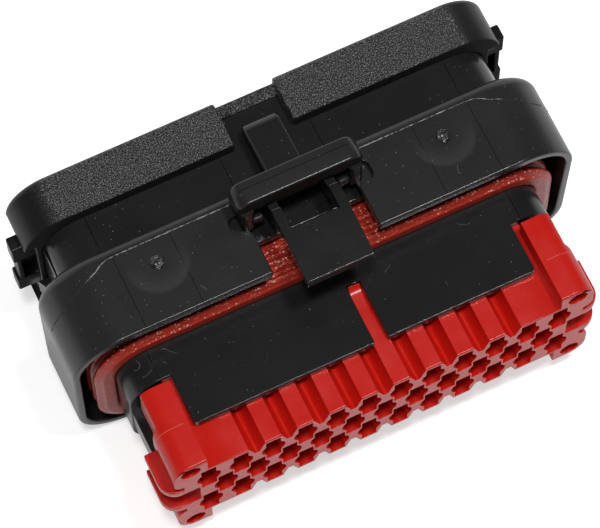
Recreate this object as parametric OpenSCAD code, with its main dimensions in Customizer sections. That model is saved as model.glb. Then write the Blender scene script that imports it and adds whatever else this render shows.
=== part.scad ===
// Sealed multi-way plug of a wire-to-board connector, as delivered: no contacts, no wires.
// X runs along the contact rows, Y from the mating face to the wire side, Z up to the latch.
// Inside the modules Y starts at the front face of the wedge lock and Z at the middle row.

/* [Contact grid] */
// Distance between neighbouring contacts and between rows
pitch = 4; // [3.8:0.1:4.3]
// Contacts in each outer row, the middle row has one fewer
long_row = 12; // [8:1:14]
// Diameter of the round part of a contact opening
entry_d = 2.9; // [2.4:0.1:3.1]
// Width of the slot through a contact opening
entry_slot_w = 1.8; // [1.2:0.1:1.8]
// Height of the slot through a contact opening
entry_slot_h = 5; // [3.5:0.1:5.2]
// Diameter of a contact cavity in the housing
cavity_d = 2.7; // [2:0.1:3]
// Diameter of a wire hole in the wire seal
wire_d = 1.9; // [1.4:0.1:2.4]
// Diameter of a wire entry in the rear cap
wire_entry_d = 3.1; // [2.6:0.1:3.4]

/* [Wedge lock] */
// Length of the ribbed block
wedge_len = 12.9; // [12:0.1:14]
// Width of the block beside the axis of the last contacts
block_margin = 0.4; // [0.2:0.05:0.6]
// Height of the ribs over the outer row of contacts
rib_rise = 3; // [2.8:0.1:3.6]
// Depth of the grooves between the ribs
groove_depth = 1.85; // [1:0.05:2]
// Width of a groove at the rib tops
groove_w = 1.96; // [1.2:0.02:2]
// Width of a groove at its floor
groove_floor_w = 0.6; // [0.4:0.05:0.8]
// Width of a corner pillar
pillar_w = 4.2; // [3.8:0.1:4.4]
// Height of a corner pillar
pillar_h = 5.55; // [5:0.05:6]
// Length of a corner pillar
pillar_len = 10.55; // [8:0.05:10.9]
// Length of the wide head of a corner pillar
pillar_head_len = 5.7; // [4:0.1:7]
// Step between the head and the stem of a corner pillar
pillar_step = 0.65; // [0.3:0.05:0.9]
// Rounding of a corner pillar
pillar_r = 2.4; // [1:0.1:2.6]
// Diameter of the hole in the front of a corner pillar
pillar_hole_d = 2.35; // [1.6:0.05:2.6]
// Distance from the top of a corner pillar to the middle of its hole
pillar_hole_drop = 1.75; // [1.5:0.05:2.2]
// Depth of the hole in the front of a corner pillar
pillar_hole_depth = 5; // [2:0.5:7]
// Width of the end block beside the last contacts
end_block_w = 3.1; // [2.8:0.1:3.4]
// Reach of an end lip beside the last contacts
lip_reach = 5.5; // [4.8:0.1:5.8]
// Thickness of an end lip
lip_t = 1.4; // [1:0.1:1.6]
// Length of an end lip
lip_len = 5.75; // [4.5:0.05:5.9]
// Rounding of the front corner of an end lip
lip_r = 2; // [0.5:0.1:2.2]
// Gap between the two lips of an end
lip_gap = 3.9; // [3:0.1:4.2]
// Depth of the gap between the lips, from the tip of a lip
lip_gap_depth = 4.3; // [3:0.1:4.8]
// Slit between a lip and the pillar over it
slit_h = 0.8; // [0.4:0.05:1]
// Length of the snap ramp in the gap between the cover plates
ramp_len = 0.8; // [0.3:0.1:1]
// Height of the snap ramp over its rib
ramp_h = 1.1; // [0.5:0.1:1.1]

/* [Housing nose] */
// Thickness of the cover plates over the wedge lock
plate_t = 1.05; // [0.8:0.05:1.4]
// Width of both cover plates together
plate_w = 42.6; // [30:0.1:43]
// Distance from the mating face to the front edge of the cover plates
plate_front = 5; // [3:0.1:7]
// Left edge of the gap between the cover plates
plate_gap_x = 1.05; // [0.4:0.05:1.4]
// Width of the gap between the cover plates
plate_gap_w = 1.7; // [1:0.1:1.9]
// Distance from the mating face to the rear end of the gap
plate_gap_end = 12.6; // [11.8:0.1:12.8]
// Distance from the mating face to the shoulder of the nose
shoulder_y = 11.4; // [11:0.1:11.7]
// Width of the nose beside the last contacts
nose_margin = 4.6; // [4.5:0.1:5.4]
// Corner radius of the nose
nose_r = 4.3; // [3:0.1:5]
// Distance from the nose flank to the flank of an end tongue
tongue_inset = 0.2; // [0:0.1:1]
// Depth of free space behind the wedge lock
wedge_room = 0.85; // [0.4:0.05:1.2]

/* [Shroud] */
// Distance from the mating face to the rim at the top
rim_y = 15.3; // [14.6:0.1:16]
// Lean of the rim, its lower side lies further back
rim_lean = 2.3; // [0:0.1:3]
// Free height between the nose and the shroud on the latch side
shroud_gap_top = 4.85; // [4.4:0.05:5.4]
// Free height between the nose and the shroud on the other side
shroud_gap_bottom = 3.8; // [3.6:0.1:5]
// Free width between the nose and the shroud at each end
shroud_gap_side = 3.9; // [3.4:0.1:4.4]
// Wall of the shroud at the top and bottom
shroud_wall = 1.4; // [1.2:0.1:1.8]
// Wall of the shroud at the ends
shroud_end_wall = 0.95; // [0.8:0.05:1.4]
// Outer corner radius of the shroud
shroud_r = 7; // [5:0.1:8]
// Depth of the shroud behind the rim at the top
shroud_depth = 11.2; // [10.6:0.1:12]
// Thickness of the back wall of the shroud
shroud_back = 2.2; // [1.8:0.1:2.6]
// Rounding of the rear edge of the shroud
shroud_edge_r = 1.6; // [0.6:0.1:2]
// Width of the latch slot in the roof
slot_w = 13.2; // [11:0.1:14]
// Length of the latch slot behind the rim
slot_len = 6.7; // [5:0.1:7]
// Distance of the gate marks from the middle
gate_x = 17.8; // [14:0.1:20]
// Diameter of a gate mark
gate_d = 1.8; // [1.2:0.1:3]
// Depth of a gate mark
gate_depth = 0.15; // [0.1:0.05:0.4]

/* [Body] */
// Step from the nose to the body at the top and bottom
body_step = 3.15; // [2.8:0.05:3.6]
// Step from the nose to the body at the ends
body_step_side = 1.5; // [0.8:0.1:2]
// Corner radius of the body
body_r = 5; // [3:0.1:6]
// Length of the body behind the shroud
body_len = 9.6; // [8:0.1:12]
// Depth of the pocket for the wire seal
wire_seal_len = 6; // [4:0.1:7]
// Margin of the wire seal around the outer contacts
wire_seal_margin = 3.2; // [2.4:0.1:3.6]
// Corner radius of the wire seal
wire_seal_r = 2.5; // [1:0.1:3]
// Height of a catch on the flank of the body
catch_h = 1.2; // [0.6:0.1:1.4]
// Length of a catch on the flank of the body
catch_len = 2.4; // [1.5:0.1:3]

/* [Interface seal] */
// Step that the seal sits against
flange_step = 2.6; // [2.2:0.1:3]
// Length of the seal at the top
seal_len = 5.4; // [4.6:0.1:6.4]
// Thickness of the front collar of the seal
seal_collar_t = 1.3; // [0.8:0.1:1.6]
// Thickness of the seal between its ribs
seal_base_t = 1.7; // [1.4:0.1:2]
// Thickness of the seal at its ribs
seal_rib_t = 2.5; // [2.1:0.1:3]
// Width of a sealing rib
seal_rib_w = 0.7; // [0.4:0.1:0.9]
// Distance between sealing ribs
seal_rib_pitch = 1.35; // [1:0.05:1.4]
// Sealing ribs
seal_ribs = 3; // [2:1:3]

/* [Latch] */
// Length of the bridge over the latch lever
bridge_w = 15.8; // [15.2:0.1:17]
// Depth of the bridge
bridge_d = 3; // [2.6:0.1:3.4]
// Height of the top of the bridge over the roof
bridge_h = 5.1; // [4.9:0.1:6]
// Thickness of the bridge bar
bar_t = 1.95; // [1.4:0.05:2]
// Rounding of the bridge bar seen from above
bar_r = 0.8; // [0.4:0.1:1.3]
// Rounding of the upper ends of the bridge bar
bar_end_r = 1.9; // [1:0.1:2]
// Width of a bridge leg
leg_w = 1.5; // [1.2:0.1:1.8]
// Distance from the end of the bridge bar to a leg
leg_inset = 0.45; // [0.2:0.05:0.7]
// How far a bridge leg stands ahead of the bar
leg_lead = 0.4; // [0:0.1:0.6]
// Rounding of a bridge leg seen from above
leg_r = 0.35; // [0.2:0.05:0.5]
// Reach of the relief around a bridge leg beyond the end of the bar
relief_reach = 0.85; // [0.4:0.05:1.2]
// Reach of the relief around a bridge leg ahead of the bar
relief_lead = 1.15; // [0.8:0.05:1.6]
// Length of the relief around a bridge leg
relief_len = 2.6; // [2:0.1:3]
// Rounding of the relief around a bridge leg
relief_r = 0.9; // [0.4:0.1:1.1]
// Depth of the relief around a bridge leg
relief_depth = 1.1; // [0.6:0.1:1.3]
// Width of the latch lever
lever_w = 8.3; // [7.4:0.1:8.8]
// Thickness of the latch plate
lever_t = 1.45; // [1.2:0.05:1.7]
// Distance from the mating face to the front edge of the latch plate
lever_front = 11.7; // [9:0.1:13]
// Rise of the latch plate from its front edge to its window
lever_rise = 0.45; // [0.1:0.05:0.6]
// Width of the window in the latch plate
window_w = 5.9; // [4.5:0.1:6.2]
// Distance from the bridge to the front edge of the window
window_len = 3.8; // [2.5:0.1:5]
// Distance from the ends of the arms beside the window to the bridge
arm_gap = 0.5; // [0.4:0.1:1]
// Rounding of the ends of the arms
arm_r = 0.8; // [0.5:0.1:0.85]
// Depth of the webs under the latch plate
web_h = 4.6; // [3.5:0.1:4.8]
// Width of the thumb tab
tab_w = 4.55; // [3.8:0.05:5.6]
// Thickness of the thumb tab
tab_t = 1.6; // [1.4:0.1:1.8]
// Free travel under the tip of the thumb tab
tab_travel = 1.4; // [1.3:0.05:2]
// Fall of the thumb tab from the bridge to its tip
tab_fall = 0.55; // [0.1:0.05:0.8]
// Rounding of the upper rear edge of the thumb tab
tab_roll = 1.3; // [0.8:0.1:1.4]
// Reach of the thumb tab behind the pivot
tab_reach = 10; // [8:0.1:10.6]
// Diameter of the pivot stubs of the lever
pivot_d = 1.6; // [1.2:0.1:1.8]
// Height of the pivot over the roof
pivot_h = 1.2; // [1:0.1:1.6]

/* [Rear cap] */
// Length of the cap
cap_len = 6; // [5:0.1:7.5]
// Thickness of the rear plate of the cap
cap_plate = 1.8; // [1.4:0.1:2.4]
// Wall of the cap at the top and bottom
cap_wall = 1.8; // [1:0.1:2]
// Wall of the cap at the ends
cap_end_wall = 2.2; // [1.8:0.1:2.6]
// Corner radius of the cap
cap_r = 5.5; // [4:0.1:6.5]
// Rounding of the rear edge of the cap
cap_edge_r = 0.9; // [0.3:0.1:1.4]
// Width of the notch for the thumb tab
notch_w = 7.4; // [6.4:0.1:9]
// Height of the end recesses of the cap over the middle row
recess_top = 8.5; // [8.2:0.1:9]
// Depth of the end recesses of the cap under the middle row
recess_foot = 10.5; // [7:0.1:10.8]
// Wall left in the end recesses of the cap
recess_wall = 0.7; // [0.5:0.1:1]
// Height of the top of a snap hoop over the middle row
hoop_top = 7.75; // [6.5:0.05:8]
// Depth of the foot of a snap hoop under the middle row
hoop_foot = 4; // [3:0.1:6]
// Width of a snap hoop along the cap
hoop_w = 1.9; // [1.4:0.1:2.2]
// Reach of a snap hoop from the body
hoop_reach = 3.3; // [2.8:0.1:3.4]
// Thickness of the outer bar of a snap hoop
hoop_bar = 1; // [0.7:0.1:1.4]
// How far the outer bar of a snap hoop steps in beside its window
hoop_waist = 0.35; // [0.2:0.05:0.5]
// Thickness of the rear wall of a snap hoop
hoop_back = 0.5; // [0.3:0.1:0.8]
// Height of the solid head of a snap hoop
hoop_head = 3.6; // [2:0.1:4]
// Height of the solid foot of a snap hoop
hoop_heel = 3; // [1.5:0.1:3]

/* [Fits] */
// Sliding gap around the wedge lock
slide_gap = 0.15; // [0.1:0.05:0.25]
// Gap beside and under the moving latch lever
lever_gap = 0.55; // [0.4:0.05:0.7]
// Radial clearance of the pivot stubs in the bridge legs
pivot_gap = 0.05; // [0.03:0.01:0.08]

/* [Hidden] */
$fn = 48;
eps = 0.01;
far = 100;

plastic_black = "#1e1e1e";
lever_black = "#262626";
cap_black = "#2b2b2b";
wedge_red = "#c4211b";
silicone_red = "#a52819";

half_grid = (long_row - 1) / 2 * pitch;
block_half_w = half_grid + block_margin;
rib_half_h = pitch + rib_rise;
groove_count = long_row - 3;
pillar_foot = lip_gap / 2 + lip_t + slit_h;
pillar_hole_x = half_grid + pillar_w / 2;
pillar_hole_z = pillar_foot + pillar_h - pillar_hole_drop;

nose_half_w = half_grid + nose_margin;
cavity_half_h = rib_half_h + slide_gap;
nose_half_h = cavity_half_h + plate_t;
wedge_floor = wedge_len + wedge_room;
tongue_front = lip_len + slide_gap;

shroud_half_w = nose_half_w + shroud_gap_side + shroud_end_wall;
roof_inner = nose_half_h + shroud_gap_top;
roof_z = roof_inner + shroud_wall;
floor_inner = -nose_half_h - shroud_gap_bottom;
floor_z = floor_inner - shroud_wall;
shroud_rear = rim_y + shroud_depth;
shroud_back_y = shroud_rear - shroud_back;

body_half_w = nose_half_w + body_step_side;
body_half_h = nose_half_h + body_step;
body_rear = shroud_rear + body_len;
pocket_y = body_rear - wire_seal_len;
seal_rear = rim_y + seal_len;
catch_y = body_rear - cap_len + cap_plate - catch_len;

bridge_y = rim_y + slot_len;
bar_top = roof_z + bridge_h;
bar_bottom = bar_top - bar_t;
pivot_y = bridge_y + bridge_d / 2;
pivot_z = roof_z + pivot_h;
bridge_rear = bridge_y + bridge_d;
leg_mid = bridge_w / 2 - leg_inset - leg_w / 2;
lever_top = bar_bottom - lever_gap / 2;
window_y = bridge_y - window_len;
arm_end = bridge_y - arm_gap;
web_top = lever_top - arm_r;
tab_end = pivot_y + tab_reach;
tip_top = body_half_h + tab_travel + tab_t;
tab_base = tip_top + tab_fall;

cap_front = body_rear + cap_plate - cap_len;
cap_rear = body_rear + cap_plate;
cap_half_w = body_half_w + cap_end_wall;
cap_half_h = body_half_h + cap_wall;
hoop_y = cap_front + cap_len / 2 - hoop_w;

// Sets the finished piece on its lowest face, with the middle of its length at the origin
module place() {
    translate([0, -cap_rear / 2, -floor_z]) children();
}

// Outline in X and Z drawn out along Y
module along_y(y0, y1) {
    translate([0, y1, 0])
        rotate([90, 0, 0])
            linear_extrude(y1 - y0) children();
}

// Outline in Y and Z drawn out along X to both sides of the middle
module along_x(width) {
    rotate([90, 0, 90])
        linear_extrude(width, center = true) children();
}

module on_both_ends() {
    for (side = [0, 1])
        mirror([side, 0, 0]) children();
}

module on_both_faces() {
    for (side = [0, 1])
        mirror([0, 0, side]) children();
}

module round_rect(half_w, z0, z1, r) {
    translate([-half_w, z0 + r]) square([2 * half_w, z1 - z0 - 2 * r]);
    translate([r - half_w, z0]) square([2 * (half_w - r), z1 - z0]);
    for (x = [r - half_w, half_w - r], z = [z0 + r, z1 - r])
        translate([x, z]) circle(r);
}

module round_block(half_w, half_h, r, y0, y1) {
    along_y(y0, y1) round_rect(half_w, -half_h, half_h, r);
}

// Half section of a slab whose upper edge is rounded
module soft_side(w, h, r) {
    square([w, h - r]);
    square([w - r, h]);
    translate([w - r, h - r])
        intersection() {
            circle(r);
            square(r);
        }
}

module both_sides(w, h, r) {
    for (side = [0, 1])
        mirror([side, 0]) soft_side(w, h, r);
}

// Slab on the XY plane with round corners and a rounded upper edge
module soft_slab(half_x, half_y, corner_r, h, r) {
    along_x(2 * (half_x - corner_r)) both_sides(half_y, h, r);
    along_y(corner_r - half_y, half_y - corner_r) both_sides(half_x, h, r);
    for (sx = [0, 1], sy = [0, 1])
        mirror([sx, 0, 0])
            mirror([0, sy, 0])
                translate([half_x - corner_r, half_y - corner_r, 0])
                    rotate_extrude(angle = 90) soft_side(corner_r, h, r);
}

// Slab that stands on the plane of y0 and has its rounded edge at y1
module rear_soft_block(half_w, z0, z1, corner_r, y0, y1, r) {
    translate([0, y0, (z0 + z1) / 2])
        rotate([-90, 0, 0])
            soft_slab(half_w, (z1 - z0) / 2, corner_r, y1 - y0, r);
}

// Two outer rows and a shorter middle row between them
module at_contacts() {
    for (row = [-1, 0, 1]) {
        count = row == 0 ? long_row - 1 : long_row;
        for (i = [0 : count - 1])
            translate([(i - (count - 1) / 2) * pitch, 0, row * pitch]) children();
    }
}

module bore_y(d, y0, y1) {
    translate([0, y0, 0])
        rotate([-90, 0, 0])
            cylinder(d = d, h = y1 - y0);
}

// Everything ahead of the leaning plane of the rim
module ahead_of_rim() {
    translate([0, rim_y, roof_z])
        rotate([rim_lean, 0, 0])
            translate([-far, -far, -far])
                cube([2 * far, far, 2 * far]);
}

module cover_plates() {
    on_both_faces()
        difference() {
            translate([-plate_w / 2, plate_front, cavity_half_h])
                cube([plate_w, shoulder_y - plate_front + eps, plate_t]);
            plate_gap();
        }
}

module plate_gap() {
    translate([plate_gap_x, plate_front - eps, cavity_half_h - eps])
        cube([plate_gap_w, plate_gap_end - plate_front + eps, plate_t + 2 * eps]);
}

module tongues() {
    inner = block_half_w + slide_gap;
    on_both_ends()
        translate([inner, tongue_front, -lip_gap / 2])
            cube([nose_half_w - tongue_inset - inner, shoulder_y - tongue_front + eps, lip_gap]);
}

module wedge_cavity() {
    half_w = block_half_w + slide_gap;
    translate([-half_w, shoulder_y - eps, -cavity_half_h])
        cube([2 * half_w, wedge_floor - shoulder_y + eps, 2 * cavity_half_h]);
}

module shroud() {
    difference() {
        rear_soft_block(shroud_half_w, floor_z, roof_z, shroud_r, shoulder_y, shroud_rear, shroud_edge_r);
        along_y(shoulder_y - eps, shroud_back_y)
            round_rect(shroud_half_w - shroud_end_wall, floor_inner, roof_inner, shroud_r - shroud_wall);
        round_block(body_half_w, body_half_h, body_r, shroud_back_y - eps, shroud_rear + eps);
        ahead_of_rim();
        latch_slot();
        leg_reliefs();
        gate_marks();
    }
}

// Wide in front of the bridge, as wide as the lever needs behind it
module latch_slot() {
    rear_w = lever_w + 2 * lever_gap;
    translate([-slot_w / 2, shoulder_y, body_half_h])
        cube([slot_w, bridge_y - shoulder_y, far]);
    translate([-rear_w / 2, shoulder_y, body_half_h])
        cube([rear_w, shroud_rear - shoulder_y + eps, far]);
}

// Shallow pocket in the roof around the foot of each bridge leg
module leg_reliefs() {
    outer = bridge_w / 2 + relief_reach;
    inner = leg_mid - leg_w / 2;
    front = bridge_y - relief_lead;
    on_both_ends()
        translate([(outer + inner) / 2, 0, roof_z - relief_depth])
            linear_extrude(relief_depth + eps)
                round_rect((outer - inner) / 2, front, front + relief_len, relief_r);
}

module gate_marks() {
    on_both_ends()
        translate([gate_x, bridge_y, roof_z - gate_depth])
            cylinder(d = gate_d, h = gate_depth + eps);
}

// Bar on two legs, with its upper ends rounded
module bridge() {
    intersection() {
        translate([0, 0, bar_bottom])
            linear_extrude(bar_t) round_rect(bridge_w / 2, bridge_y, bridge_rear, bar_r);
        along_y(bridge_y, bridge_rear) round_rect(bridge_w / 2, roof_inner, bar_top, bar_end_r);
    }
    on_both_ends()
        difference() {
            translate([leg_mid, 0, roof_inner])
                linear_extrude(bar_bottom - roof_inner + eps)
                    round_rect(leg_w / 2, bridge_y - leg_lead, bridge_rear - leg_r, leg_r);
            translate([leg_mid - leg_w / 2 - eps, pivot_y, pivot_z])
                rotate([0, 90, 0])
                    cylinder(d = pivot_d + 2 * pivot_gap, h = leg_w / 2 + eps);
        }
}

module catches() {
    on_both_ends()
        translate([0, 0, -hoop_foot])
            linear_extrude(hoop_heel)
                polygon([
                    [body_half_w - eps, catch_y],
                    [body_half_w + catch_h, catch_y + catch_len],
                    [body_half_w - eps, catch_y + catch_len]
                ]);
}

// Shroud and bridge, moulded in one with the core of the housing and meeting it at the back wall
module plug_shroud() {
    color(plastic_black)
        place() {
            shroud();
            bridge();
        }
}

// Core of the housing: nose, seal flange, body and contact cavities
module plug_housing() {
    color(plastic_black)
        place()
            difference() {
                union() {
                    round_block(nose_half_w, nose_half_h, nose_r, shoulder_y, shroud_back_y + eps);
                    round_block(nose_half_w + flange_step, nose_half_h + flange_step, nose_r + flange_step,
                        seal_rear, shroud_back_y);
                    round_block(body_half_w, body_half_h, body_r, shroud_back_y, body_rear);
                    cover_plates();
                    tongues();
                    catches();
                }
                wedge_cavity();
                plate_gap();
                mirror([0, 0, 1]) plate_gap();
                at_contacts() bore_y(cavity_d, wedge_floor - eps, pocket_y + eps);
                wire_seal_block(pocket_y, body_rear + eps);
            }
}

module wire_seal_block(y0, y1) {
    round_block(half_grid + wire_seal_margin, pitch + wire_seal_margin, wire_seal_r, y0, y1);
}

module wire_seal() {
    color(silicone_red)
        place()
            difference() {
                wire_seal_block(pocket_y, body_rear);
                at_contacts() bore_y(wire_d, pocket_y - eps, body_rear + eps);
            }
}

module interface_seal() {
    rib_start = seal_rear - (seal_ribs - 0.5) * seal_rib_pitch;
    color(silicone_red)
        place()
            difference() {
                union() {
                    seal_ring(seal_collar_t, shoulder_y, seal_rear);
                    seal_ring(seal_base_t, rib_start - seal_rib_w, seal_rear);
                    for (i = [0 : seal_ribs - 1])
                        seal_ring(seal_rib_t, rib_start + i * seal_rib_pitch - seal_rib_w / 2,
                            rib_start + i * seal_rib_pitch + seal_rib_w / 2);
                }
                round_block(nose_half_w, nose_half_h, nose_r, shoulder_y - eps, seal_rear + eps);
                ahead_of_rim();
            }
}

module seal_ring(t, y0, y1) {
    round_block(nose_half_w + t, nose_half_h + t, nose_r + t, y0, y1);
}

// Plate, webs, thumb tab and stubs are one moulding
module latch_lever() {
    color(lever_black)
        place() {
            latch_plate();
            lever_webs();
            thumb_tab();
            pivot_stubs();
        }
}

// Plate in front of the window and a level arm with a rounded end on each side of it
module latch_plate() {
    front_top = lever_top - lever_rise;
    difference() {
        along_x(lever_w) {
            polygon([
                [lever_front, front_top - lever_t],
                [lever_front, front_top],
                [window_y, lever_top],
                [window_y, lever_top - lever_t]
            ]);
            translate([window_y, lever_top - lever_t]) soft_side(arm_end - window_y, lever_t, arm_r);
        }
        translate([-window_w / 2, window_y, 0])
            cube([window_w, far, far]);
    }
}

module lever_webs() {
    web_rear = pivot_y + bridge_d;
    difference() {
        along_x(lever_w)
            polygon([
                [window_y, lever_top - lever_t],
                [window_y, web_top],
                [pivot_y + pivot_d / 2, web_top],
                [web_rear, tab_base],
                [web_rear, lever_top - web_h],
                [bridge_y, lever_top - web_h]
            ]);
        translate([-window_w / 2, window_y - eps, 0])
            cube([window_w, web_rear - tab_t - window_y, far]);
    }
}

module thumb_tab() {
    roll_y = tab_end - tab_roll;
    along_x(tab_w) {
        polygon([
            [pivot_y + bridge_d - eps, tab_base - tab_t],
            [pivot_y + bridge_d - eps, tab_base],
            [roll_y, tip_top],
            [roll_y, tip_top - tab_t]
        ]);
        translate([roll_y, tip_top - tab_roll])
            intersection() {
                circle(tab_roll);
                translate([0, tab_roll - tab_t]) square([tab_roll, tab_t]);
            }
    }
}

module pivot_stubs() {
    reach = leg_mid - slide_gap;
    on_both_ends()
        translate([window_w / 2 + eps, pivot_y, pivot_z])
            rotate([0, 90, 0])
                cylinder(d = pivot_d, h = reach - window_w / 2);
}

module wedge_lock() {
    color(wedge_red)
        place()
            difference() {
                union() {
                    ribbed_block();
                    on_both_ends()
                        on_both_faces() {
                            pillar();
                            end_lip();
                        }
                    on_both_faces() snap_ramp();
                }
                at_contacts() contact_opening();
            }
}

// Grooves between the contacts, with a wide rib left over the last two at each end
module ribbed_block() {
    difference() {
        translate([-block_half_w, 0, -rib_half_h])
            cube([2 * block_half_w, wedge_len, 2 * rib_half_h]);
        on_both_faces()
            for (i = [1 : groove_count])
                translate([(i - (groove_count + 1) / 2) * pitch, 0, 0]) groove();
    }
}

module groove() {
    along_y(-eps, wedge_len + eps)
        polygon([
            [-groove_w / 2, rib_half_h + eps],
            [groove_w / 2, rib_half_h + eps],
            [groove_floor_w / 2, rib_half_h - groove_depth],
            [-groove_floor_w / 2, rib_half_h - groove_depth]
        ]);
}

// Wide head in front, narrow stem behind, with the outer upper edge rounded
module pillar() {
    outer = half_grid + pillar_w;
    top = pillar_foot + pillar_h;
    foot_r = pillar_r / 2;
    difference() {
        intersection() {
            translate([0, 0, pillar_foot - slit_h])
                linear_extrude(pillar_h + slit_h)
                    polygon([
                        [half_grid, 0],
                        [outer, 0],
                        [outer, pillar_head_len],
                        [outer - pillar_step, pillar_head_len + pillar_step],
                        [outer - pillar_step, pillar_len],
                        [half_grid, pillar_len]
                    ]);
            along_y(-eps, pillar_len + eps) {
                translate([half_grid, foot_r + pillar_foot])
                    square([pillar_w, pillar_h - pillar_r - foot_r]);
                translate([half_grid, pillar_foot]) square([pillar_w - pillar_r, pillar_h]);
                translate([outer - pillar_r, top - pillar_r]) circle(pillar_r);
                translate([half_grid, pillar_foot]) square([pillar_w - foot_r, pillar_h - pillar_r]);
                translate([outer - foot_r, pillar_foot + foot_r]) circle(foot_r);
            }
        }
        translate([pillar_hole_x, 0, pillar_hole_z])
            bore_y(pillar_hole_d, -eps, pillar_hole_depth);
    }
}

// Solid beside the last contacts, with a lip that stands out to the end
module end_lip() {
    tip = half_grid + lip_reach;
    translate([half_grid, 0, 0])
        cube([lip_reach - lip_gap_depth, lip_len, lip_gap / 2 + eps]);
    translate([half_grid, 0, lip_gap / 2])
        cube([end_block_w, lip_len, pillar_foot - lip_gap / 2 + eps]);
    translate([0, 0, lip_gap / 2])
        linear_extrude(lip_t) {
            translate([half_grid, 0]) square([lip_reach - lip_r, lip_len]);
            translate([half_grid, lip_r]) square([lip_reach, lip_len - lip_r]);
            translate([tip - lip_r, lip_r]) circle(lip_r);
        }
}

// Small ramp on a rib, which fills the rear end of the gap between the cover plates
module snap_ramp() {
    rear = plate_gap_end - slide_gap;
    translate([plate_gap_x + plate_gap_w / 2, 0, 0])
        along_x(plate_gap_w - 2 * slide_gap)
            polygon([
                [rear - ramp_len, rib_half_h - eps],
                [rear, rib_half_h + ramp_h],
                [rear, rib_half_h - eps]
            ]);
}

module contact_opening() {
    bore_y(entry_d, -eps, wedge_len + eps);
    translate([-entry_slot_w / 2, -eps, -entry_slot_h / 2])
        cube([entry_slot_w, wedge_len + 2 * eps, entry_slot_h]);
}

module rear_cap() {
    color(cap_black)
        place() {
            difference() {
                rear_soft_block(cap_half_w, -cap_half_h, cap_half_h, cap_r, cap_front, cap_rear, cap_edge_r);
                round_block(body_half_w, body_half_h, body_r, cap_front - eps, body_rear);
                tab_notch();
                on_both_ends() end_recess();
                at_contacts() bore_y(wire_entry_d, body_rear - eps, cap_rear + eps);
            }
            on_both_ends() snap_hoop();
        }
}

module tab_notch() {
    translate([-notch_w / 2, cap_front - eps, body_half_h])
        cube([notch_w, cap_len + 2 * eps, far]);
}

module end_recess() {
    translate([body_half_w + recess_wall, cap_front - eps, -recess_foot])
        cube([far, cap_len + 2 * eps, recess_top + recess_foot]);
}

module snap_hoop() {
    root = body_half_w + recess_wall / 2;
    tip = body_half_w + hoop_reach;
    window_h = hoop_foot + hoop_top - hoop_head - hoop_heel;
    difference() {
        translate([root, hoop_y, -hoop_foot])
            cube([tip - root, hoop_w, hoop_foot + hoop_top]);
        translate([body_half_w + recess_wall, hoop_y - eps, hoop_heel - hoop_foot])
            cube([hoop_reach - recess_wall - hoop_bar, hoop_w - hoop_back + eps, window_h]);
        translate([tip - hoop_waist, hoop_y - eps, hoop_heel - hoop_foot])
            cube([far, hoop_w + 2 * eps, window_h]);
    }
}

plug_housing();
plug_shroud();
latch_lever();
wedge_lock();
interface_seal();
wire_seal();
rear_cap();
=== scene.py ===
import math

import bmesh
import bpy
from mathutils import Matrix, Vector


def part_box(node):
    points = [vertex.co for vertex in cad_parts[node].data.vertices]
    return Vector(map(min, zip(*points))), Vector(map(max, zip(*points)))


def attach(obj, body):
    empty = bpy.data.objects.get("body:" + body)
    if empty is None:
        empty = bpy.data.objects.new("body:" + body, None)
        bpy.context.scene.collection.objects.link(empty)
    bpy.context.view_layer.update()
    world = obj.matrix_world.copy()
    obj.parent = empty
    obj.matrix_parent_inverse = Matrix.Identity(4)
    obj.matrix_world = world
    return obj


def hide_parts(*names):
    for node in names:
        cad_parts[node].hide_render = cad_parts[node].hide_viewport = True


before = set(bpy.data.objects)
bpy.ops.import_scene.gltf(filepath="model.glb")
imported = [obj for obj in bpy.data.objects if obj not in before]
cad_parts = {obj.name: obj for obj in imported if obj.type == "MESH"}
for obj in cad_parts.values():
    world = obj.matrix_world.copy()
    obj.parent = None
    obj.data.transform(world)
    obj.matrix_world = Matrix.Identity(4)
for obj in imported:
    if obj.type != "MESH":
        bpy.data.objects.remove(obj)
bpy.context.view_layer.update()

# Core of the plug housing: nose with two thin cover plates, seal flange, body and contact cavities.
# Injection moulded in black glass-filled polyester, satin, with the fine glass just under the skin.
# Every outer edge keeps the small radius of the mould, and the front corners of the plates a larger one.
MM = 0.001
# These three are in metres; the plug's other sizes below are in millimetres
ROWS_Z = 0.0134
FACE_Y = -0.01895
WELD = 1e-6
COPLANAR = math.radians(0.4)
SHARP = math.radians(28)
PARALLEL = 0.9
ROUND_STEPS = 2
EDGE_SLOT, DULL_SHADED_SLOT = 1, 2


def srgb(code):
    """Linear colour of an sRGB hex value."""
    parts = [int(code[i:i + 2], 16) / 255 for i in (1, 3, 5)]
    return [p / 12.92 if p <= 0.04045 else ((p + 0.055) / 1.055) ** 2.4 for p in parts] + [1.0]


def add(tree, kind, inputs=None, **settings):
    """Adds a node with its settings; an input takes a value, a socket, or a node's first output."""
    node = tree.nodes.new(kind)
    for key, value in settings.items():
        setattr(node, key, value)
    for key, value in (inputs or {}).items():
        if isinstance(value, bpy.types.Node):
            value = value.outputs[0]
        if isinstance(value, bpy.types.NodeSocket):
            tree.links.new(value, node.inputs[key])
        else:
            node.inputs[key].default_value = value
    return node


def local(point):
    """Millimetres from the front of the wedge lock and from the middle contact row."""
    return Vector((point.x, point.y - FACE_Y, point.z - ROWS_Z)) / MM


def placed(x, y, z):
    """The reverse of local: a point of the frame, in metres."""
    return (x * MM, FACE_Y + y * MM, ROWS_Z + z * MM)


def plain_mesh(piece):
    """Turns the result of a piece's modifiers into its mesh."""
    bpy.context.view_layer.update()
    result = piece.evaluated_get(bpy.context.evaluated_depsgraph_get())
    piece.data = bpy.data.meshes.new_from_object(result)
    piece.modifiers.clear()


def dress(piece, *materials):
    """Gives a piece its materials: the faces', then the rounded edges' (rubbed, partly painted highlight),
    then a dull one painted darker as shade where it has that.
    """
    for material in materials:
        piece.data.materials.append(material)


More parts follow.
